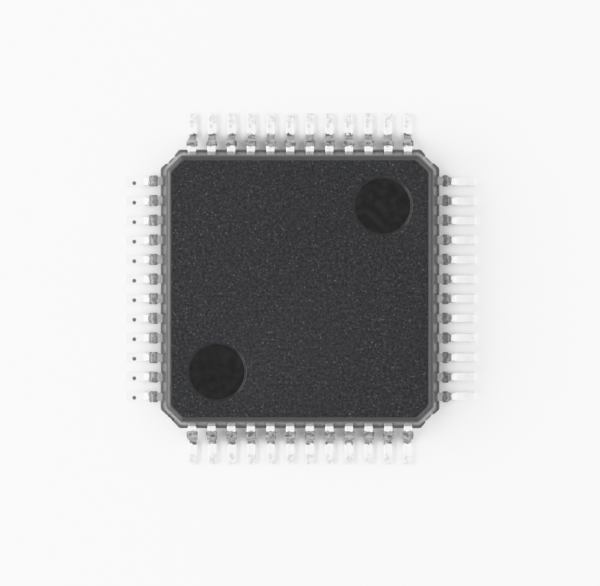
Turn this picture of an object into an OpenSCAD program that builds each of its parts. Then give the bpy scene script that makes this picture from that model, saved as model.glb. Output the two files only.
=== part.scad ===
// Low-profile quad flat pack: an integrated circuit moulded in black epoxy, with gull-wing leads on all
// four sides. The origin is the centre of the body on the plane that the lead feet stand on, +Z is up.

/* [Body] */
// Distance from the middle of the last lead of a side to the corner of the uncut square
row_end = 0.75; // [0.7:0.01:0.9]
// Thickness of the moulded body
body_thickness = 1.4; // [1.3:0.05:1.8]
// Gap under the body when the feet stand on a board
standoff = 0.1; // [0.05:0.01:0.2]
// Lean of the moulded sides, in degrees
draft_angle = 12; // [6:1:14]
// Radius of the edges round the top and bottom faces
edge_radius = 0.14; // [0.08:0.01:0.16]
// Length that a corner's chamfer takes from each side
corner_cut = 0.45; // [0.35:0.01:0.5]
// Reach of the thin resin ledge between the leads
ledge_reach = 0.05; // [0.03:0.01:0.07]

/* [Corner trims] */
// Room beside a tie bar in the gap that the punch left in the ledge
trim_margin = 0.02; // [0.01:0.005:0.03]
// How far a cut tie bar stands out of its corner
tie_proud = 0.015; // [0.01:0.001:0.03]
// Radius of the cut at the corner where the resin came in
gate_radius = 0.12; // [0.1:0.01:0.16]
// Depth of that cut, from the outside of the ledge
gate_depth = 0.025; // [0.015:0.001:0.028]

/* [Ejector marks] */
// Diameter of the flat floor of a round mark
mark_diameter = 1.42; // [1:0.02:1.6]
// Depth of a mark
mark_depth = 0.05; // [0.02:0.01:0.08]
// How far the wall of a mark leans outwards
mark_lean = 0.03; // [0.01:0.01:0.05]
// Distance of a mark's centre from the two nearest sides of the body
mark_inset = 1.4; // [1.2:0.05:1.6]

/* [Leads] */
// Number of leads on one side
leads_per_side = 12; // [10:1:12]
// Distance between the centres of two leads
pitch = 0.5; // [0.45:0.01:0.52]
// Width of a lead outside the body
lead_width = 0.21; // [0.17:0.01:0.23]
// Thickness of the lead frame
lead_thickness = 0.127; // [0.1:0.001:0.15]
// How far the leads reach out from the side of the body
lead_reach = 1; // [0.95:0.01:1.3]
// Straight length between the body and the first bend
neck_length = 0.11; // [0.09:0.01:0.2]
// Inside radius of both bends
bend_radius = 0.1; // [0.07:0.01:0.12]
// Lean of the leg from upright, in degrees
leg_lean = 10; // [4:1:20]
// How far the cut dam bar stands out on each side of a lead
dam_stub = 0.038; // [0.02:0.001:0.06]
// How far the cut dam bar reaches down the leg
stub_drop = 0.2; // [0.1:0.01:0.3]

/* [Inner leads] */
// Straight length of a lead inside the body
root_length = 0.25; // [0.2:0.01:0.35]
// Width of a lead at its inner tip
tip_width = 0.11; // [0.09:0.01:0.13]
// Gap from the die pad to the middle tips
tip_gap = 0.25; // [0.2:0.01:0.35]
// How much further out the tips near the corners are
tip_set_back = 0.15; // [0.1:0.01:0.2]
// Gap between the outermost leads and the tie bars
tie_gap = 0.1; // [0.08:0.01:0.14]

/* [Die and pad] */
// Width and length of the die pad
pad_size = 3.6; // [3.4:0.05:4]
// How far the die pad lies below the leads
downset = 0.25; // [0.15:0.01:0.35]
// Width of the tie bars that hold the die pad
tie_width = 0.18; // [0.14:0.01:0.2]
// Straight length of a tie bar beside the die pad
tie_level = 0.35; // [0.2:0.05:0.5]
// Width and length of the silicon die
die_size = 2.7; // [2.2:0.05:3]
// Thickness of the die
die_thickness = 0.28; // [0.2:0.01:0.32]
// Thickness of the glue under the die
attach_thickness = 0.03; // [0.02:0.01:0.05]
// How far the glue reaches past the die
attach_margin = 0.06; // [0.03:0.01:0.15]

/* [Bond wires] */
// Diameter of a bond wire
wire_diameter = 0.025; // [0.018:0.001:0.033]
// Diameter of the ball at the start of a wire
ball_diameter = 0.07; // [0.05:0.005:0.09]
// Height of a wire's loop above the die
loop_height = 0.18; // [0.12:0.01:0.22]
// Distance of the bonds from the edge of the die
bond_edge = 0.08; // [0.06:0.01:0.15]
// Distance of the end of a wire from a lead's tip
stitch_back = 0.1; // [0.07:0.01:0.15]

/* [Hidden] */
$fn = 64;
SIDES = ["south", "east", "north", "west"];
TRIMMED = [-45, 45, 135];
INLET = 225;
RESIN = "#3c3d40";
TIN = "#d4d4d2";
COPPER = "#c08a62";
GLUE = "#b9b9b4";
SILICON = "#6a7280";
GOLD = "#e3b23c";

body_size = (leads_per_side - 1) * pitch + 2 * row_end;
body_half = body_size / 2;
body_top = standoff + body_thickness;
frame_z = standoff + body_thickness / 2;
frame_top = frame_z + lead_thickness / 2;
frame_bottom = frame_z - lead_thickness / 2;
chamfer_half = sqrt(2) * body_half - corner_cut / sqrt(2);
mark_place = body_half - mark_inset;
mark_clear = 1;
edge_bite = 0.97;
bend_steps = 6;

lead_count = len(SIDES) * leads_per_side;
middle_lead = (leads_per_side - 1) / 2;
mid_radius = bend_radius + lead_thickness / 2;
outer_radius = bend_radius + lead_thickness;
bend_start = body_half + neck_length;
shoulder = [bend_start, frame_z - mid_radius];
leg_length = (frame_bottom - 2 * mid_radius * (1 - sin(leg_lean))) / cos(leg_lean);
heel_x = bend_start + 2 * mid_radius * cos(leg_lean) + leg_length * sin(leg_lean);
heel = [heel_x, outer_radius];
toe_x = body_half + lead_reach;
stub_turn = 8;

root_x = body_half - root_length;
tip_x = pad_size / 2 + tip_gap;
outermost_tip = tip_x + tip_set_back - sqrt(2) * (tie_width / 2 + tie_gap + tip_width / 2);
tip_pitch = outermost_tip / middle_lead;

pad_z = frame_z - downset;
pad_top = pad_z + lead_thickness / 2;
attach_top = pad_top + attach_thickness;
die_top = attach_top + die_thickness;
bond_pitch = (die_size / 2 - 2 * bond_edge) / middle_lead;
wire_radius = wire_diameter / 2;
wire_sides = 6;

function lead_name(k) = str("lead_", k < 10 ? "0" : "", k);
function away(r, a) = [r * cos(a), r * sin(a)];
function unit(v) = v / norm(v);

// ---- flat shapes ----

// Points on an arc about a centre, from angle a to angle b.
function arc(centre, r, a, b) =
    [for (i = [0:bend_steps]) centre + away(r, a + (b - a) * i / bend_steps)];

// ---- moulded body ----

// Section across the body, half wide at the level of the lead frame, with round edges above and below.
module body_section(half) {
    rise = body_thickness / 2;
    step = lead_thickness / 2;
    edge = half - (rise - step) * tan(draft_angle);
    difference() {
        polygon([
            [half, -step], [half, step], [edge, rise], [-edge, rise],
            [-half, step], [-half, -step], [-edge, -rise], [edge, -rise],
        ]);
        for (x = [0, 1], y = [0, 1]) mirror([x, 0]) mirror([0, y])
            translate([edge, rise]) outside_of_round();
    }
}

// What a round edge leaves off a sharp one, whose corner is at the origin.
module outside_of_round() {
    depth = edge_bite * edge_radius;
    reach = 3 * edge_radius;
    centre = [-depth * tan(45 - draft_angle / 2), -depth];
    translate(centre) difference() {
        polygon([[0, 0], away(reach, draft_angle), away(1.5 * reach, 45), away(reach, 90)]);
        circle(edge_radius);
    }
}

module body_slab(half, turn) {
    translate([0, 0, frame_z]) rotate(turn) rotate([90, 0, 0])
        linear_extrude(2 * body_size, center = true) body_section(half);
}

// Outline of the resin at the level of the lead frame, with the ledge. A punch cut the tie bars off
// at three corners and the resin's inlet at the fourth.
module frame_outline() {
    ledge_half = body_half + ledge_reach;
    ledge_chamfer = chamfer_half + ledge_reach;
    trim_width = tie_width + 2 * trim_margin;
    difference() {
        intersection() {
            square(2 * ledge_half, center = true);
            rotate(45) square(2 * ledge_chamfer, center = true);
        }
        for (turn = TRIMMED) rotate(turn)
            translate([chamfer_half - ledge_reach, -trim_width / 2]) square([1, trim_width]);
        rotate(INLET) translate([ledge_chamfer + gate_radius - gate_depth, 0]) circle(gate_radius);
    }
}

// The round marks of the mould's ejector pins, cut down from the surface they are placed on.
module ejector_marks() {
    wide = mark_diameter / 2 + mark_lean;
    for (place = [-mark_place, mark_place]) translate([place, place, 0]) {
        translate([0, 0, -mark_depth]) cylinder(h = mark_depth, r1 = mark_diameter / 2, r2 = wide);
        cylinder(h = mark_clear, r = wide);
    }
}

module moulding() {
    difference() {
        union() {
            intersection() {
                body_slab(body_half, 0);
                body_slab(body_half, 90);
                body_slab(chamfer_half, 45);
                body_slab(chamfer_half, 135);
            }
            translate([0, 0, frame_bottom]) linear_extrude(lead_thickness) frame_outline();
        }
        translate([0, 0, body_top]) ejector_marks();
        translate([0, 0, standoff]) mirror([0, 0, 1]) ejector_marks();
    }
}

// The resin fills all the room round the lead frame, the die and the wires.
module body() {
    color(RESIN) difference() {
        difference() {
            difference() {
                moulding();
                die_pad();
                die_attach();
                die();
            }
            for (side = [0:3]) lead_slots(side);
        }
        for (side = [0:3]) bond_wires(side);
    }
}

// ---- lead frame ----

// Side view of a lead: distance from the centre of the body against height.
module lead_profile() {
    polygon(concat(
        [[toe_x, 0], [toe_x, lead_thickness]],
        arc(heel, bend_radius, 270, 180 + leg_lean),
        arc(shoulder, outer_radius, leg_lean, 90),
        [[root_x, frame_top], [root_x, frame_bottom]],
        arc(shoulder, bend_radius, 90, leg_lean),
        arc(heel, outer_radius, 180 + leg_lean, 270)
    ));
}

// Side view of what is left of the dam bar, which bends with the shoulder and ends on the leg.
module stub_profile() {
    leg_end = stub_drop * [sin(leg_lean), -cos(leg_lean)];
    polygon(concat(
        [shoulder + away(outer_radius, leg_lean) + leg_end],
        arc(shoulder, outer_radius, leg_lean, 90 - stub_turn),
        arc(shoulder, bend_radius, 90 - stub_turn, leg_lean),
        [shoulder + away(bend_radius, leg_lean) + leg_end]
    ));
}

// The inner end of a lead seen from above, on the south side, at a number of steps from the middle.
function lead_root(steps) = [steps * pitch, -root_x];
function lead_tip(steps) =
    [steps * tip_pitch, -tip_x - tip_set_back * pow(steps / middle_lead, 2)];

// It laps the straight part of the lead by the given length.
module inner_lead(steps, overlap) {
    root = lead_root(steps);
    tip = lead_tip(steps);
    run = unit(tip - root);
    across = [run.y, -run.x] * tip_width / 2;
    half = [lead_width / 2, 0];
    lap = [0, -overlap];
    polygon([
        root - half + lap, root + half + lap, root + half,
        tip + across, tip - across, root - half,
    ]);
}

// Lead number k, counted anticlockwise from the left end of the south side.
module lead(k) {
    side = floor((k - 1) / leads_per_side);
    steps = (k - 1) % leads_per_side - middle_lead;
    color(TIN) rotate(90 * side) union() {
        translate([steps * pitch, 0, 0]) rotate([90, 0, -90]) union() {
            linear_extrude(lead_width, center = true) lead_profile();
            linear_extrude(lead_width + 2 * dam_stub, center = true) stub_profile();
        }
        translate([0, 0, frame_bottom]) linear_extrude(lead_thickness)
            inner_lead(steps, root_length / 2);
    }
}

// The room that the resin leaves for the leads of one side.
module lead_slots(side) {
    rotate(90 * side) translate([0, 0, frame_bottom]) linear_extrude(lead_thickness)
        for (n = [0:leads_per_side - 1]) inner_lead(n - middle_lead, root_length + 2 * ledge_reach);
}

// Side view of a tie bar: along the diagonal, it rises from the level of the die pad to the lead frame.
module tie_profile() {
    level_end = pad_size / sqrt(2) + tie_level;
    rise_end = level_end + downset;
    mitre = lead_thickness / 2 * tan(22.5);
    half = lead_thickness / 2;
    polygon([
        [level_end - tie_level - tie_width, pad_z - half],
        [level_end + mitre, pad_z - half],
        [rise_end + mitre, frame_bottom],
        [rise_end + tie_width, frame_bottom],
        [rise_end + tie_width, frame_top],
        [rise_end - mitre, frame_top],
        [level_end - mitre, pad_top],
        [level_end - tie_level - tie_width, pad_top],
    ]);
}

// A flat tie bar, from above its slope out to a distance from the centre.
module tie_end(reach) {
    start = pad_size / sqrt(2) + tie_level + downset + tie_width / 2;
    translate([start, -tie_width / 2]) square([reach - start, tie_width]);
}

// The four tie bars at the level of the lead frame, out to where they were cut.
module tie_ends() {
    for (turn = TRIMMED) rotate(turn) tie_end(chamfer_half + tie_proud);
    intersection() {
        frame_outline();
        rotate(INLET) tie_end(body_size);
    }
}

module die_pad() {
    color(COPPER) union() {
        translate([-pad_size / 2, -pad_size / 2, pad_z - lead_thickness / 2])
            cube([pad_size, pad_size, lead_thickness]);
        for (turn = concat(TRIMMED, INLET)) rotate(turn) rotate([90, 0, 0])
            linear_extrude(tie_width, center = true) tie_profile();
        translate([0, 0, frame_bottom]) linear_extrude(lead_thickness) tie_ends();
    }
}

// ---- die ----

module plate(size, thickness, z) {
    translate([-size / 2, -size / 2, z]) cube([size, size, thickness]);
}

module die_attach() {
    color(GLUE) plate(die_size + 2 * attach_margin, attach_thickness, pad_top);
}

module die() {
    color(SILICON) plate(die_size, die_thickness, attach_top);
}

// ---- bond wires ----

// Each stage of a wire: share of its run, height above the die, and radius along and across the run.
ball = ball_diameter / 2;
wire_stages = [
    [0, 0, ball, ball],
    [0, 0.02, ball, ball],
    [0, 0.035, wire_radius, wire_radius],
    [0.02, 0.75 * loop_height, wire_radius, wire_radius],
    [0.12, loop_height, wire_radius, wire_radius],
    [0.4, 0.9 * loop_height, wire_radius, wire_radius],
    [0.8, 0.3 * loop_height, wire_radius, wire_radius],
    [1, frame_top - die_top, 2.4 * wire_radius, wire_radius],
];

// Turn of the wire's section at a stage: level at both ends, and square to the wire between them.
function stage_turn(j, span) =
    let (last = len(wire_stages) - 1)
    j <= 2 ? 0 :
    j == last ? -180 :
    let (step = wire_stages[j + 1] - wire_stages[j - 1])
    atan2(step[1], step[0] * span) - 90;

module bond_wire(start, end) {
    span = norm(end - start);
    along = unit(end - start);
    across = [-along.y, along.x, 0];
    last = len(wire_stages) - 1;
    rings = [
        for (j = [0:last], i = [0:wire_sides - 1])
            let (stage = wire_stages[j])
            let (turn = stage_turn(j, span))
            let (at = start + along * span * stage[0])
            let (level = [along.x * cos(turn), along.y * cos(turn), sin(turn)])
            let (angle = 360 * i / wire_sides)
            [at.x, at.y, die_top + stage[1]]
                + level * stage[2] * cos(angle)
                + across * stage[3] * sin(angle)
    ];
    walls = [
        for (j = [0:last - 1], i = [0:wire_sides - 1])
            let (next = (i + 1) % wire_sides)
            [for (p = [[j, i], [j + 1, i], [j + 1, next], [j, next]]) p[0] * wire_sides + p[1]]
    ];
    ends = [
        [for (i = [0:wire_sides - 1]) i],
        [for (i = [wire_sides - 1:-1:0]) last * wire_sides + i],
    ];
    polyhedron(rings, concat(walls, ends));
}

// The wires from the die to the leads of one side.
module bond_wires(side) {
    color(GOLD) rotate(90 * side) for (n = [0:leads_per_side - 1]) {
        steps = n - middle_lead;
        tip = lead_tip(steps);
        bond_wire(
            [steps * bond_pitch, bond_edge - die_size / 2],
            tip + stitch_back * unit(lead_root(steps) - tip)
        );
    }
}

body();
die_pad();
die_attach();
die();
for (side = [0:3]) bond_wires(side);
for (k = [1:lead_count]) lead(k);
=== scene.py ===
"""A quad flat pack chip: the finish of its moulded body and its leads, a pale floor and soft light."""

import math

import bmesh
import bpy
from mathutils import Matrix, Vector, noise


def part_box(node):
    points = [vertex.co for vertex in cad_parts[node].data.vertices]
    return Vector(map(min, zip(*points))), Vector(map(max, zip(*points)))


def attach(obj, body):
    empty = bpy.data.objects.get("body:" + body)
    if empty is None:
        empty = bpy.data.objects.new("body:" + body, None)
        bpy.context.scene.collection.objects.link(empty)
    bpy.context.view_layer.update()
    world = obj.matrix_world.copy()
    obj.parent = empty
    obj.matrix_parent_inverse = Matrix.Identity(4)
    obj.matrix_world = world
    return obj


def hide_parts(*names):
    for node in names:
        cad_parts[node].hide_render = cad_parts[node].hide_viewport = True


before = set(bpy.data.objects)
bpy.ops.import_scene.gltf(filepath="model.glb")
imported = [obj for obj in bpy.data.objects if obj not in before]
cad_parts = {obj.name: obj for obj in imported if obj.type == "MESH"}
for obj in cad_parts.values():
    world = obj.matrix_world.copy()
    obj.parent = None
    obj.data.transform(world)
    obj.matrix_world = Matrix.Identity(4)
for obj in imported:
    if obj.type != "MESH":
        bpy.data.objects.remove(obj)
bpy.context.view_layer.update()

# ---- sizes in millimetres, as the CAD model has them; the rest is worked out from its nodes ----

MM = 0.001
DRAFT = math.radians(12)
EDGE_RADIUS = 0.14
CORNER_CUT = 0.45
LEDGE_REACH = 0.05
LEADS_PER_SIDE = 12
LEAD_WIDTH = 0.21
NECK_LENGTH = 0.11
BEND_RADIUS = 0.1
LEG_LEAN = math.radians(10)
ROOT_LENGTH = 0.25
TIP_WIDTH = 0.11
STUB_WIDTH = 0.29
LEG_WIDTH = 0.17
MARK_FLOOR = 0.71
MARK_RIM = 0.74
MARK_DEPTH = 0.05
MARK_INSET = 1.4
TRIM_WIDTH = 0.22
GATE_WIDTH = 0.15


def box_mm(node):
    low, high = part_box(node)
    return low / MM, high / MM


body_low, body_high = box_mm("body")
lead_low, lead_high = box_mm("lead_01")
next_low, next_high = box_mm("lead_02")

BODY_TOP = body_high.z
BODY_BOTTOM = body_low.z
LEDGE_HALF = body_high.x
BODY_HALF = LEDGE_HALF - LEDGE_REACH
CHAMFER_HALF = math.sqrt(2) * BODY_HALF - CORNER_CUT / math.sqrt(2)
FRAME_TOP = lead_high.z
FRAME_Z = (BODY_TOP + BODY_BOTTOM) / 2
THICKNESS = 2 * (FRAME_TOP - FRAME_Z)
FRAME_BOTTOM = FRAME_Z - THICKNESS / 2
PITCH = next_low.x - lead_low.x
TIP_PITCH = next_high.x - lead_high.x
TOE = -lead_low.y
MIDDLE = (LEADS_PER_SIDE - 1) / 2


# ---- small helpers ----

def mix(a, b, share):
    return a + (b - a) * share


def smooth(share):
    share = min(max(share, 0), 1)
    return share * share * (3 - 2 * share)


def noise_at(x, y, z):
    """Smooth noise between about -1 and 1, the same on every run."""
    return noise.noise(Vector((x, y, z)))


def turned(point, side):
    """A point of the south side, turned to side 0 south, 1 east, 2 north or 3 west."""
    x, y, z = point
    for _ in range(side):
        x, y = -y, x
    return Vector((x, y, z))


def new_piece(name, mesh_data, materials):
    """Makes a mesh object from points in millimetres, riding on the one body."""
    points, faces = mesh_data[:2]
    mesh = bpy.data.meshes.new(name)
    mesh.from_pydata([Vector(p) * MM for p in points], [], faces)
    if len(mesh_data) > 2:
        mesh.polygons.foreach_set("material_index", mesh_data[2])
    piece = bpy.data.objects.new(name, mesh)
    bpy.context.scene.collection.objects.link(piece)
    for material in materials:
        mesh.materials.append(material)
    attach(piece, "root")
    return piece


def shade(piece, sharp_angle):
    """Smooth shading, with sharp edges where faces meet at more than an angle."""
    mesh = piece.data
    bm = bmesh.new()
    bm.from_mesh(mesh)
    bmesh.ops.recalc_face_normals(bm, faces=bm.faces)
    for face in bm.faces:
        face.smooth = True
    for edge in bm.edges:
        edge.smooth = edge.calc_face_angle(0) < sharp_angle
    bm.to_mesh(mesh)
    bm.free()


# ---- materials ----

class Nodes:
    """A short way to write a material's node tree; lengths in it are in millimetres."""

    def __init__(self, name):
        self.material = bpy.data.materials.new(name)
        self.material.use_nodes = True
        self.tree = self.material.node_tree
        self.shader = self.tree.nodes["Principled BSDF"]
        place = self.new("ShaderNodeTexCoord").outputs["Object"]
        scale = self.new("ShaderNodeVectorMath", operation="SCALE")
        scale.inputs["Scale"].default_value = 1 / MM
        self.join(place, scale.inputs[0])
        self.place = scale.outputs[0]

    def new(self, kind, **settings):
        node = self.tree.nodes.new(kind)
        for key, value in settings.items():
            setattr(node, key, value)
        return node

    def join(self, output, socket):
        self.tree.links.new(output, socket)

    def feed(self, socket, value):
        if isinstance(value, bpy.types.NodeSocket):
            self.join(value, socket)
        else:
            socket.default_value = value

    def noise(self, size, detail=2.0, roughness=0.5, vector=None):
        """Noise whose blobs are about this size."""
        node = self.new("ShaderNodeTexNoise")
        self.join(vector or self.place, node.inputs["Vector"])
        node.inputs["Scale"].default_value = 1 / size
        node.inputs["Detail"].default_value = detail
        node.inputs["Roughness"].default_value = roughness
        return node.outputs["Fac"]

    def axes(self):
        """The x, y and z of a point."""
        node = self.new("ShaderNodeSeparateXYZ")
        self.join(self.place, node.inputs[0])
        return node.outputs

    def cells(self, size):
        """The distance to the nearest of scattered points about this far apart."""
        node = self.new("ShaderNodeTexVoronoi")
        self.join(self.place, node.inputs["Vector"])
        node.inputs["Scale"].default_value = 1 / size
        return node.outputs["Distance"]

    def math(self, operation, a, b=0.0):
        node = self.new("ShaderNodeMath", operation=operation)
        self.feed(node.inputs[0], a)
        self.feed(node.inputs[1], b)
        return node.outputs[0]

    def blend(self, share, a, b):
        """Mixes two colours."""
        node = self.new("ShaderNodeMix", data_type="RGBA")
        self.feed(node.inputs["Factor"], share)
        self.feed(node.inputs[6], a)
        self.feed(node.inputs[7], b)
        return node.outputs[2]

    def range(self, value, low, high, to_low, to_high):
        """Carries a value smoothly from one range to another, and stops at its ends."""
        node = self.new("ShaderNodeMapRange", interpolation_type="SMOOTHSTEP")
        self.join(value, node.inputs["Value"])
        node.inputs["From Min"].default_value = low
        node.inputs["From Max"].default_value = high
        node.inputs["To Min"].default_value = to_low
        node.inputs["To Max"].default_value = to_high
        return node.outputs["Result"]

    def bump(self, height, depth):
        """Bump of a height map whose full range is this many millimetres deep."""
        node = self.new("ShaderNodeBump")
        node.inputs["Distance"].default_value = depth * MM
        self.join(height, node.inputs["Height"])
        return node.outputs["Normal"]

    def finish(self, **inputs):
        """Sets the shader's sockets, whose names have _ for a space, and gives the material."""
        for name, value in inputs.items():
            self.feed(self.shader.inputs[name.replace("_", " ")], value)
        return self.material


def grey(level, tint=(1, 1, 1)):
    return (level * tint[0], level * tint[1], level * tint[2], 1)


def moulded_resin():
    """Black epoxy, matt from the sparked face of its mould, with pale specks of filler."""
    n = Nodes("moulded_resin")
    grain = n.noise(0.06, detail=3, roughness=0.7)
    mottle = n.noise(0.075, detail=4, roughness=0.75)
    specks = n.range(n.noise(0.045, detail=2, roughness=0.7), 0.62, 0.7, 0, 1)
    dark = n.blend(n.range(mottle, 0.4, 0.6, 0, 1), grey(0.001, (1, 1, 1.1)), grey(0.015, (1, 1.04, 1.3)))
    pale = n.blend(specks, dark, grey(0.075, (1, 1.02, 1.12)))
    normal = n.bump(grain, 0.035)
    rough = n.range(grain, 0.3, 0.7, 0.45, 0.6)
    return n.finish(Base_Color=pale, Roughness=rough, Normal=normal, IOR=1.45, Specular_IOR_Level=0.25)


def draft_resin():
    """The smoother sides of the same moulding, with a rougher rounded edge round each flat face."""
    n = Nodes("draft_resin")
    mottle = n.noise(0.09, detail=3, roughness=0.6)
    colour = n.blend(mottle, grey(0.008), grey(0.02, (1, 1.01, 1.05)))
    height = n.math("ABSOLUTE", n.math("SUBTRACT", n.axes()[2], FRAME_Z))
    rounding = n.range(height, 0.53, 0.6, 0, 1)
    crumbs = n.noise(0.05, detail=3, roughness=0.7)
    rough = n.math("ADD", n.range(crumbs, 0.3, 0.7, 0.16, 0.26), n.math("MULTIPLY", rounding, 0.22))
    normal = n.bump(crumbs, 0.007)
    return n.finish(Base_Color=colour, Roughness=rough, Normal=normal, IOR=1.65)


def cut_resin():
    """The thin ledge between the leads, paler where the trimming punch broke it."""
    n = Nodes("cut_resin")
    crumbs = n.noise(0.04, detail=4, roughness=0.7)
    colour = n.blend(crumbs, grey(0.03), grey(0.10, (1, 1, 1.04)))
    normal = n.bump(crumbs, 0.012)
    rough = n.range(crumbs, 0.3, 0.7, 0.5, 0.75)
    return n.finish(Base_Color=colour, Roughness=rough, Normal=normal, IOR=1.5)


def polished_resin():
    """The same epoxy where an ejector pin left it smooth."""
    n = Nodes("polished_resin")
    haze = n.noise(0.2, detail=3)
    colour = n.blend(haze, grey(0.006), grey(0.012, (1, 1, 1.05)))
    normal = n.bump(n.noise(0.06, detail=3), 0.001)
    rough = n.range(haze, 0.3, 0.7, 0.16, 0.24)
    return n.finish(Base_Color=colour, Roughness=rough, Normal=normal, IOR=1.52)


# Where the tin changes along a lead, in millimetres out from the body's side.
NECK_END = (0.10, 0.14)
# The pale band across the bend is a painted highlight.
HIGHLIGHT_BAND = (0.245, 0.265, 0.285, 0.305)
SCRAPE_END = (0.45, 0.5)
SCRAPE_END_SHIFT = 0.1
TOE_START = (0.66, 0.8)
ZONE_WOBBLE = 0.03

# Round dents on the feet, which show only as spots of painted shade: how far out, their radius where they
# start and end, and how strong.
WEST_DENT = (0.75, 1.0)
NORTH_DENT = (0.67, 0.35)
DENT_RADIUS = (0.035, 0.07)
DENT_SHIFT = 0.08


def plated_tin():
    """Matt tin plate: bright where it is flat, duller and scuffed round the upper bend. Painted shade
    darkens the necks and the upper bend on the east and west rows, a painted highlight crosses the bend,
    and spots of painted shade stand for socket dents.
    """
    n = Nodes("plated_tin")
    x, y = n.axes()[:2]
    wide, tall = n.math("ABSOLUTE", x), n.math("ABSOLUTE", y)
    outward = n.math("SUBTRACT", n.math("MAXIMUM", wide, tall), BODY_HALF)
    on_x_side = n.math("GREATER_THAN", wide, tall)
    wobble = n.range(n.noise(0.12, detail=3, roughness=0.6), 0.3, 0.7, -ZONE_WOBBLE, ZONE_WOBBLE)
    reach = n.math("ADD", outward, wobble)

    neck = n.range(reach, *NECK_END, 0, 1)
    # Painted shade: on the east and west rows the flat necks are given three quarters of the worn grey of
    # the bend, to darken them.
    painted_neck_shade = n.math("MULTIPLY", on_x_side, 0.75)
    start = n.math("MAXIMUM", neck, painted_neck_shade)
    leg = n.math("ADD", reach, n.math("MULTIPLY", on_x_side, SCRAPE_END_SHIFT))
    end = n.range(leg, *SCRAPE_END, 1, 0)
    scuff_and_neck_shade = n.math("MULTIPLY", start, end)

    blotches = n.range(n.noise(0.12, detail=4, roughness=0.65), 0.36, 0.6, 0, 1)
    pale_dull = n.blend(blotches, grey(0.05), grey(0.27))
    # Painted shade: the worn grey of the bend is given a darker copy for the east and west rows.
    scuffed_in_painted_shade = n.blend(blotches, grey(0.05), grey(0.12))
    scuffed_tone_and_painted_light = n.blend(on_x_side, pale_dull, scuffed_in_painted_shade)
    # Painted highlight: a pale band across the bend of each lead.
    painted_highlight_band = n.math("MULTIPLY", n.range(reach, *HIGHLIGHT_BAND[:2], 0, 1), n.range(reach, *HIGHLIGHT_BAND[2:], 1, 0))
    scuffed_tone_and_painted_light = n.blend(n.math("MULTIPLY", painted_highlight_band, 0.35), scuffed_tone_and_painted_light, grey(0.4))

    # The toe turns greyer and mottled towards its end, mostly on the north and south rows.
    toe = n.math("MULTIPLY", n.range(reach, *TOE_START, 0, 0.8), n.range(on_x_side, 0, 1, 1, 0.25))
    toe_mottle = n.range(n.noise(0.12, detail=4, roughness=0.7), 0.4, 0.6, 0.3, 1)
    bright = n.blend(n.math("MULTIPLY", toe_mottle, toe), grey(0.97, (1, 0.997, 0.99)), grey(0.45))
    # Painted shade: dark round spots stand for socket dents on the feet.
    bright = n.blend(dent_shade_spots(n, x, y, outward), bright, grey(0.12))
    colour = n.blend(scuff_and_neck_shade, bright, scuffed_tone_and_painted_light)
    grains = n.noise(0.03, detail=3, roughness=0.6)
    normal = n.bump(grains, 0.004)
    rough = n.range(scuff_and_neck_shade, 0, 1, 0.5, 0.6)
    metal = n.range(scuff_and_neck_shade, 0, 1, 0.6, 0.05)
    return n.finish(Base_Color=colour, Roughness=rough, Normal=normal, Metallic=metal)


def dent_shade_spots(n, x, y, outward):
    """Painted shade of round dents that a test socket left on the feet, plain on the west row, faint on
    the north row: dark spots only, with no dent in the shape.
    """
    west = n.math("LESS_THAN", x, -BODY_HALF)
    north = n.math("GREATER_THAN", y, BODY_HALF)
    spots = []
    for row, along, (reach, strength) in ((west, y, WEST_DENT), (north, x, NORTH_DENT)):
        off = n.math("SUBTRACT", n.math("FRACT", n.math("DIVIDE", along, PITCH)), 0.5 - DENT_SHIFT)
        off = n.math("MULTIPLY", off, PITCH)
        out = n.math("SUBTRACT", outward, reach)
        away = n.math("SQRT", n.math("ADD", n.math("MULTIPLY", off, off), n.math("MULTIPLY", out, out)))
        spots.append(n.math("MULTIPLY", n.range(away, *DENT_RADIUS, strength, 0), row))
    return n.math("MAXIMUM", *spots)


def rolled_copper():
    """The die pad's copper, streaked by rolling; the cut ends of its tie bars are tinned."""
    n = Nodes("rolled_copper")
    streak = n.new("ShaderNodeMapping")
    n.join(n.place, streak.inputs["Vector"])
    streak.inputs["Scale"].default_value = (1, 12, 1)
    lines = n.noise(0.4, detail=3, vector=streak.outputs[0])
    copper = n.blend(lines, (0.48, 0.23, 0.13, 1), (0.68, 0.38, 0.24, 1))
    x, y = n.axes()[:2]
    out = n.math("ADD", n.math("ABSOLUTE", x), n.math("ABSOLUTE", y))
    edge = math.sqrt(2) * CHAMFER_HALF
    colour = n.blend(n.range(out, edge - 0.1, edge - 0.05, 0, 1), copper, grey(0.2))
    normal = n.bump(lines, 0.002)
    return n.finish(Base_Color=colour, Roughness=n.range(lines, 0, 1, 0.3, 0.5), Normal=normal, Metallic=1)


def silver_glue():
    """Epoxy filled with silver flakes."""
    n = Nodes("silver_glue")
    flakes = n.cells(0.02)
    colour = n.blend(flakes, grey(0.42), grey(0.68, (1, 1, 0.97)))
    return n.finish(Base_Color=colour, Roughness=0.45, Normal=n.bump(flakes, 0.004), Metallic=0.7)


def silicon():
    """The bare grey-blue die."""
    n = Nodes("silicon")
    haze = n.noise(0.3, detail=4)
    colour = n.blend(haze, (0.10, 0.11, 0.15, 1), (0.17, 0.18, 0.24, 1))
    return n.finish(
        Base_Color=colour,
        Roughness=n.range(haze, 0.2, 0.8, 0.12, 0.3),
        Normal=n.bump(haze, 0.001),
        Metallic=0.6,
    )


def gold_wire():
    """Drawn gold."""
    n = Nodes("gold_wire")
    drawn = n.noise(0.02, detail=2)
    colour = n.blend(drawn, (0.80, 0.52, 0.16, 1), (0.95, 0.70, 0.28, 1))
    return n.finish(Base_Color=colour, Roughness=0.25, Normal=n.bump(drawn, 0.0005), Metallic=1)


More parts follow.
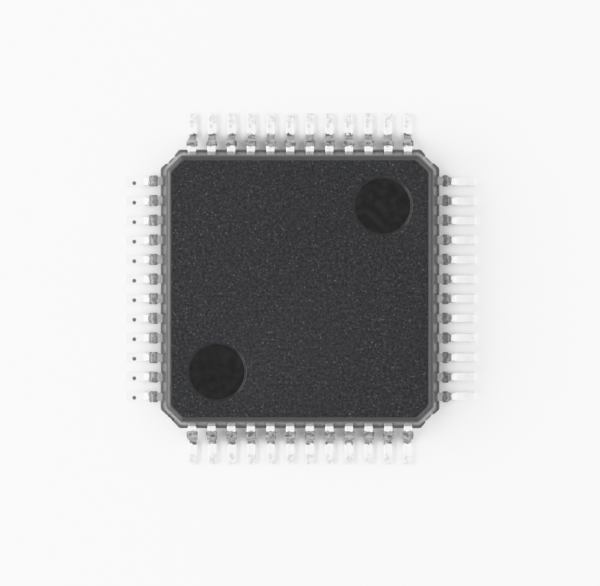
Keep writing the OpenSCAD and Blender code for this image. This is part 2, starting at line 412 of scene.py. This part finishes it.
RESIN = moulded_resin()
POLISHED = polished_resin()
DRAFTED = draft_resin()
CUT = cut_resin()
TIN = plated_tin()
NODE_FINISH = {
    "die_pad": rolled_copper(),
    "die_attach": silver_glue(),
    "die": silicon(),
}
GOLD = gold_wire()
for side in ("south", "east", "north", "west"):
    NODE_FINISH["bond_wires_" + side] = GOLD
for node_name, finish in NODE_FINISH.items():
    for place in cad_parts[node_name].material_slots:
        place.material = finish


# ---- moulded body ----

CORNER_ROUND = 0.13
CORNER_STEPS = 6
LEDGE_TAPER = 0.45
TRIM_SLOPE = 0.08
GATE_CORNER = 3
STEP_GAP = 0.006


def side_samples():
    """Places along a side, from its middle: the edges of each lead's slot, and a few between slots."""
    places = []
    for n in range(LEADS_PER_SIDE):
        centre = (n - MIDDLE) * PITCH
        half = LEAD_WIDTH / 2
        places += [centre - half - STEP_GAP, centre - half, centre + half, centre + half + STEP_GAP]
        if n < LEADS_PER_SIDE - 1:
            places += [centre + PITCH * share for share in (0.3, 0.4, 0.5, 0.6, 0.7)]
    return places


SAMPLES = side_samples()
CHAMFER_SHARES = [step / 8 for step in range(-8, 9)]


def ledge_along(side, u):
    """How far the resin ledge stands out at a place along a side: none at a lead."""
    nearest = round(u / PITCH + MIDDLE)
    nearest = min(max(nearest, 0), LEADS_PER_SIDE - 1)
    off = abs(u - (nearest - MIDDLE) * PITCH) - LEAD_WIDTH / 2
    if off < STEP_GAP / 2:
        return 0
    return LEDGE_REACH + 0.003 * (noise_at(u * 9, side * 7.3, 0.5) - 1)


def ledge_at_corner(corner, u):
    """The same at a corner, where the punch that cut off a tie bar or the gate left a gap."""
    width = GATE_WIDTH if corner == GATE_CORNER else TRIM_WIDTH
    depth = 0.3 if corner == GATE_CORNER else 1
    inside = smooth((width / 2 + TRIM_SLOPE - abs(u)) / 0.1)
    ragged = 0.006 * (noise_at(u * 9, corner * 5.1, 3.5) - 1)
    return (LEDGE_REACH + ragged) * (1 - depth * inside)


def outline(inset, ledge=False):
    """Points round the body, anticlockwise from the left end of the south side, moved in by an inset."""
    points = []
    half = BODY_HALF - inset
    chamfer = CHAMFER_HALF - inset
    corner_u = math.sqrt(2) * chamfer - half
    chamfer_u = math.sqrt(2) * half - chamfer
    swing = math.tan(math.radians(22.5)) * CORNER_ROUND
    for side in range(4):
        for u in SAMPLES:
            out = half + (ledge_along(side, u) if ledge else 0)
            points.append(turned((u, -out, 0), side))
        reach = LEDGE_REACH if ledge else 0
        rounded_corner(points, side, 0, corner_u, half + reach, swing, reach)
        for share in CHAMFER_SHARES:
            u = share * (chamfer_u - swing) * 0.97
            out = chamfer + (ledge_at_corner(side, u) if ledge else 0)
            points.append(rotated(u, out, side))
        rounded_corner(points, side, 1, corner_u, half + reach, swing, reach)
    return points


def rotated(u, out, side):
    """A point on the chamfer that follows a side, u along it and out from the centre."""
    across = Vector((1, -1)) / math.sqrt(2)
    along = Vector((1, 1)) / math.sqrt(2)
    flat = across * out + along * u
    return turned((flat.x, flat.y, 0), side)


def rounded_corner(points, side, end, corner_u, half, swing, reach):
    """The rounded corner between a side and its chamfer, or between the chamfer and the next side."""
    corner_u += reach * math.tan(math.radians(22.5))
    for step in range(CORNER_STEPS + 1):
        angle = math.radians(45) * step / CORNER_STEPS
        turn = math.radians(-90) + angle
        x = corner_u - swing + CORNER_ROUND * math.sin(angle)
        y = -(half - CORNER_ROUND) + CORNER_ROUND * math.sin(turn)
        if end == 0:
            points.append(turned((x, y, 0), side))
        else:
            mirrored = Vector((-y, -x, 0))
            points.append(turned(mirrored, side))
    if end == 1:
        points[-(CORNER_STEPS + 1):] = reversed(points[-(CORNER_STEPS + 1):])


def half_rings(upper):
    """Rings from the ledge to the flat face of one half: (height above the middle, inset, ledge)."""
    rise = (BODY_TOP - BODY_BOTTOM) / 2
    step = THICKNESS / 2
    lean = math.tan(DRAFT)
    rings = [(step * LEDGE_TAPER, 0, True), (step, 0, False)]
    tangent = EDGE_RADIUS * math.tan((math.pi / 2 - DRAFT) / 2)
    sharp_inset = (rise - step) * lean
    centre_inset = sharp_inset + tangent
    centre_height = rise - EDGE_RADIUS
    first = centre_height + EDGE_RADIUS * math.sin(DRAFT)
    for share in (0.03, 0.35, 0.7):
        height = mix(step, first, share)
        rings.append((height, (height - step) * lean, False))
    for count in range(8):
        angle = mix(DRAFT, math.pi / 2, count / 7)
        height = centre_height + EDGE_RADIUS * math.sin(angle)
        inset = centre_inset - EDGE_RADIUS * math.cos(angle)
        rings.append((height, inset, False))
    if not upper:
        rings = [(-height, inset, ledge) for height, inset, ledge in rings]
    return rings


POLISHED_FACES, DRAFT_FACES, CUT_FACES = 1, 2, 3
MARK_POINTS = 96
MARK_RINGS = (
    (MARK_RIM + 0.02, 0),
    (MARK_RIM + 0.008, -0.003),
    (MARK_RIM, -0.01),
    (MARK_FLOOR + 0.006, -MARK_DEPTH + 0.008),
    (MARK_FLOOR - 0.004, -MARK_DEPTH + 0.001),
    (MARK_FLOOR - 0.02, -MARK_DEPTH),
)


def body_mesh():
    bm = bmesh.new()
    rings = list(reversed(half_rings(False))) + half_rings(True)
    loops = []
    for height, inset, ledge in rings:
        z = FRAME_Z + height
        loops.append([bm.verts.new((p.x, p.y, z)) for p in outline(inset, ledge)])
    count = len(loops[0])
    for (lower, upper), pair in zip(zip(loops, loops[1:]), zip(rings, rings[1:])):
        kind = CUT_FACES if pair[0][2] or pair[1][2] else DRAFT_FACES
        for i in range(count):
            j = (i + 1) % count
            face = bm.faces.new((lower[i], lower[j], upper[j], upper[i]))
            face.material_index = kind
    for loop, z, sign in ((loops[0], BODY_BOTTOM, -1), (loops[-1], BODY_TOP, 1)):
        edges = [bm.edges.get((loop[i], loop[(i + 1) % count])) for i in range(count)]
        for place in (-1, 1):
            edges += ejector_mark(bm, place * (BODY_HALF - MARK_INSET), z, sign)
        bmesh.ops.triangle_fill(bm, edges=edges, use_beauty=True, use_dissolve=False)
    bmesh.ops.recalc_face_normals(bm, faces=bm.faces)
    points = [v.co.copy() for v in bm.verts]
    bm.verts.index_update()
    faces = [[v.index for v in face.verts] for face in bm.faces]
    kinds = [face.material_index for face in bm.faces]
    bm.free()
    return points, faces, kinds


def ejector_mark(bm, place, z, sign):
    """One round mark: its rim, wall and smooth floor. Returns the edges of its rim."""
    loops = []
    for radius, depth in MARK_RINGS:
        loop = []
        for i in range(MARK_POINTS):
            angle = 2 * math.pi * i / MARK_POINTS
            x = place + radius * math.cos(angle)
            y = place + radius * math.sin(angle)
            loop.append(bm.verts.new((x, y, z + sign * depth)))
        loops.append(loop)
    for row, (outer, inner) in enumerate(zip(loops, loops[1:])):
        for i in range(MARK_POINTS):
            j = (i + 1) % MARK_POINTS
            face = bm.faces.new((outer[i], outer[j], inner[j], inner[i]))
            face.material_index = POLISHED_FACES if row > 0 else 0
    floor = bm.faces.new(loops[-1])
    floor.material_index = POLISHED_FACES
    return [bm.edges.get((loops[0][i], loops[0][(i + 1) % MARK_POINTS])) for i in range(MARK_POINTS)]


body = new_piece("moulded_body", body_mesh(), [RESIN, POLISHED, DRAFTED, CUT])
shade(body, math.radians(30))
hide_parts("body")


# ---- leads ----

EDGE_ROUND = 0.022
ROUND_STEPS = 3
MID_RADIUS = BEND_RADIUS + THICKNESS / 2
BEND_START = BODY_HALF + NECK_LENGTH
SHOULDER = (BEND_START, FRAME_Z - MID_RADIUS)
LEG_LENGTH = (FRAME_BOTTOM - 2 * MID_RADIUS * (1 - math.sin(LEG_LEAN))) / math.cos(LEG_LEAN)
HEEL = (
    BEND_START + 2 * MID_RADIUS * math.cos(LEG_LEAN) + LEG_LENGTH * math.sin(LEG_LEAN),
    BEND_RADIUS + THICKNESS,
)


def lead_path():
    """Stations along the middle of a lead outside the body: (reach, height, direction, length so far)."""
    stations = []
    turn = math.pi / 2 - LEG_LEAN
    for share in (0, 0.5, 1):
        stations.append((mix(BODY_HALF, BEND_START, share), FRAME_Z, 0))
    for count in range(1, 15):
        angle = turn * count / 14
        x = SHOULDER[0] + MID_RADIUS * math.sin(angle)
        z = SHOULDER[1] + MID_RADIUS * math.cos(angle)
        stations.append((x, z, -angle))
    leg_top = stations[-1]
    for count in range(1, 13):
        run = LEG_LENGTH * count / 12
        x = leg_top[0] + run * math.sin(LEG_LEAN)
        z = leg_top[1] - run * math.cos(LEG_LEAN)
        stations.append((x, z, -turn))
    for count in range(1, 11):
        angle = turn * (1 - count / 10)
        x = HEEL[0] - MID_RADIUS * math.sin(angle)
        z = HEEL[1] - MID_RADIUS * math.cos(angle)
        stations.append((x, z, -angle))
    foot_start = stations[-1][0]
    for count in range(1, 13):
        stations.append((mix(foot_start, TOE, count / 12), THICKNESS / 2, 0))
    lengths = [0]
    for a, b in zip(stations, stations[1:]):
        lengths.append(lengths[-1] + math.dist(a[:2], b[:2]))
    return [(x, z, slope, run) for (x, z, slope), run in zip(stations, lengths)]


PATH = lead_path()
BEND_END = NECK_LENGTH + MID_RADIUS * (math.pi / 2 - LEG_LEAN)
FOOT_START = BEND_END + LEG_LENGTH + MID_RADIUS * (math.pi / 2 - LEG_LEAN)

# Width of the second bulge of the cut dam bar on the south, east, north and west rows.
LOWER_STUB = (0.27, 0.21, 0.21, 0.28)


def widths(side):
    """Width of a lead at places along its length: the neck, the cut dam bar's two bulges, leg and foot."""
    lower = LOWER_STUB[side]
    return (
        (0, LEAD_WIDTH),
        (NECK_LENGTH + 0.01, LEAD_WIDTH),
        (NECK_LENGTH + 0.04, STUB_WIDTH - 0.01),
        (NECK_LENGTH + 0.08, STUB_WIDTH),
        (NECK_LENGTH + 0.13, STUB_WIDTH - 0.01),
        (NECK_LENGTH + 0.17, min(lower, LEAD_WIDTH + 0.02)),
        (NECK_LENGTH + 0.21, lower),
        (BEND_END + 0.06, lower),
        (BEND_END + 0.16, LEG_WIDTH),
        (FOOT_START - 0.12, LEG_WIDTH),
        (FOOT_START, LEAD_WIDTH),
        (FOOT_START + 10, LEAD_WIDTH),
    )


WIDTHS = [widths(side) for side in range(4)]


def width_at(run, side):
    for (start, a), (end, b) in zip(WIDTHS[side], WIDTHS[side][1:]):
        if run <= end:
            return mix(a, b, smooth((run - start) / (end - start)))
    return LEAD_WIDTH


def section(width, thickness, rounding):
    """A rounded rectangle round the origin: (across, up) points."""
    points = []
    for corner, (sx, sy) in enumerate(((1, 1), (-1, 1), (-1, -1), (1, -1))):
        for step in range(ROUND_STEPS + 1):
            angle = math.pi / 2 * (corner + step / ROUND_STEPS)
            x = sx * (width / 2 - rounding) + rounding * math.cos(angle)
            y = sy * (thickness / 2 - rounding) + rounding * math.sin(angle)
            points.append((x, y))
    return points


def lead_mesh(number):
    side, place = divmod(number, LEADS_PER_SIDE)
    steps = place - MIDDLE
    low, high = box_mm("lead_%02d" % (number + 1))
    rings = inner_rings(steps, low, high, side)
    seed = number * 3.17
    for x, z, slope, run in PATH:
        stub = smooth((run - NECK_LENGTH) / 0.03) * smooth((BEND_END + 0.1 - run) / 0.05)
        ragged = stub * 0.014 * noise_at(run * 22, seed, 1.7)
        dent = stub * 0.012 * noise_at(run * 25, seed, 8.1)
        width = width_at(run, side) + 2 * min(ragged, 0)
        ring = []
        for across, up in section(width, THICKNESS, EDGE_ROUND):
            top = up > 0
            height = up - (abs(dent) if top else 0)
            ring.append(turned((
                steps * PITCH + across,
                -(x - height * math.sin(slope)),
                z + height * math.cos(slope),
            ), side))
        rings.append(ring)
    rings.append(toe_ring(rings[-1], side, steps))
    points = [p for ring in rings for p in ring]
    count = len(rings[0])
    faces = []
    for row in range(len(rings) - 1):
        for i in range(count):
            j = (i + 1) % count
            faces.append((row * count + i, row * count + j, (row + 1) * count + j, (row + 1) * count + i))
    faces.append(tuple(reversed(range(count))))
    last = (len(rings) - 1) * count
    faces.append(tuple(last + i for i in range(count)))
    return points, faces


TOE_ROUND = 0.012


def toe_ring(ring, side, steps):
    """A slightly smaller ring that rounds the cut end of the foot; the one before it moves back."""
    centre = sum(ring, Vector()) / len(ring)
    outward = turned((0, -1, 0), side)
    for i, point in enumerate(ring):
        ring[i] = point - outward * TOE_ROUND
    return [centre + (p - centre - outward * (p - centre).dot(outward)) * 0.9 for p in ring]


def inner_rings(steps, low, high, side):
    """The part of a lead inside the resin: rings at its narrow tip and where it turns straight."""
    tip_reach = (-high.y, low.x, low.y, -high.x)[side]
    tip = Vector((steps * TIP_PITCH, -tip_reach, FRAME_Z))
    root = Vector((steps * PITCH, ROOT_LENGTH - BODY_HALF, FRAME_Z))
    rings = []
    for centre, width in ((tip, TIP_WIDTH), (root, LEAD_WIDTH)):
        ring = []
        for across, up in section(width, THICKNESS, EDGE_ROUND):
            ring.append(turned(centre + Vector((across, 0, up)), side))
        rings.append(ring)
    return rings


for number in range(4 * LEADS_PER_SIDE):
    name = "lead_%02d" % (number + 1)
    lead = new_piece("tin_" + name, lead_mesh(number), [TIN])
    shade(lead, math.radians(40))
    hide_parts(name)


# ---- floor, light and camera ----

FLOOR_HALF = 120
VIEW_WIDTH = 15.279
CAMERA_DISTANCE = 110
CAMERA_TILT = math.radians(0.3)
AIM = (0.0, -0.105, 0.8)
SENSOR = 36
LAMP_DISTANCE = 100
LAMP_WIDTH = 150
LAMP_HEIGHT = 60


def white_floor():
    n = Nodes("white_floor")
    soft = n.noise(6, detail=2)
    colour = n.blend(soft, grey(0.90), grey(0.91))
    return n.finish(Base_Color=colour, Roughness=0.9, Specular_IOR_Level=0.0)


def make_floor():
    corners = ((-1, -1), (1, -1), (1, 1), (-1, 1))
    mesh = bpy.data.meshes.new("floor")
    mesh.from_pydata([Vector((x, y, 0)) * FLOOR_HALF * MM for x, y in corners], [], [(0, 1, 2, 3)])
    mesh.materials.append(white_floor())
    floor = bpy.data.objects.new("floor", mesh)
    bpy.context.scene.collection.objects.link(floor)


# Sky brightness against the sine of the height above the horizon.
SKY = ((0.0, 1.0), (0.7, 1.0), (0.9, 0.7), (0.97, 0.1))
SKY_STRENGTH = 0.85


def make_world():
    """An even pale sky, dark overhead where the camera hangs."""
    world = bpy.data.worlds.new("studio")
    world.use_nodes = True
    tree = world.node_tree
    background = tree.nodes["Background"]
    place = tree.nodes.new("ShaderNodeTexCoord")
    parts = tree.nodes.new("ShaderNodeSeparateXYZ")
    tree.links.new(place.outputs["Generated"], parts.inputs[0])
    ramp = tree.nodes.new("ShaderNodeValToRGB")
    tree.links.new(parts.outputs["Z"], ramp.inputs["Fac"])
    elements = ramp.color_ramp.elements
    while len(elements) < len(SKY):
        elements.new(0.5)
    for element, (height, level) in zip(elements, SKY):
        element.position = height
        element.color = (level, level, level, 1)
    tree.links.new(ramp.outputs["Color"], background.inputs["Color"])
    background.inputs["Strength"].default_value = SKY_STRENGTH
    bpy.context.scene.world = world


def area_light(name, azimuth, elevation, power):
    """A wide soft box that looks at the part; azimuth 0 is +X and 90 is +Y."""
    data = bpy.data.lights.new(name, "AREA")
    data.shape = "RECTANGLE"
    data.size = LAMP_WIDTH * MM
    data.size_y = LAMP_HEIGHT * MM
    data.energy = power
    lamp = bpy.data.objects.new(name, data)
    a, e = math.radians(azimuth), math.radians(elevation)
    back = Vector((math.cos(a) * math.cos(e), math.sin(a) * math.cos(e), math.sin(e)))
    lamp.location = back * LAMP_DISTANCE * MM
    lamp.rotation_mode = "QUATERNION"
    lamp.rotation_quaternion = (-back).to_track_quat("-Z", "Y")
    bpy.context.scene.collection.objects.link(lamp)


def make_camera():
    data = bpy.data.cameras.new("camera")
    data.sensor_width = SENSOR
    data.lens = SENSOR * CAMERA_DISTANCE / VIEW_WIDTH
    data.clip_start = 0.01
    data.clip_end = 1
    camera = bpy.data.objects.new("camera", data)
    back = Vector((math.sin(CAMERA_TILT), 0, math.cos(CAMERA_TILT)))
    camera.location = (Vector(AIM) + back * CAMERA_DISTANCE) * MM
    camera.rotation_euler = (0, CAMERA_TILT, 0)
    bpy.context.scene.collection.objects.link(camera)
    bpy.context.scene.camera = camera


# How bright the film shows each level of light, in linear light.
FILM_WHITE = 3
FILM = (
    (0, 0), (0.25, 0.25), (0.5, 0.49), (0.8, 0.72),
    (1.1, 0.87), (1.5, 0.935), (2.0, 0.955), (3.0, 0.957),
)


def film_curve():
    """Rolls the brightest light off softly, so that the lit floor is just short of white."""
    view = bpy.context.scene.view_settings
    view.view_transform = "Standard"
    view.use_curve_mapping = True
    mapping = view.curve_mapping
    mapping.white_level = (FILM_WHITE,) * 3
    curve = mapping.curves[3]
    while len(curve.points) < len(FILM):
        curve.points.new(1, 1)
    for point, place in zip(curve.points, FILM):
        point.location = (place[0] / FILM_WHITE, place[1])
        point.handle_type = "AUTO_CLAMPED"
    mapping.update()


make_floor()
make_world()
area_light("key", 180, 34, 0.17)
area_light("fill", 0, 58, 0.08)
make_camera()
film_curve()
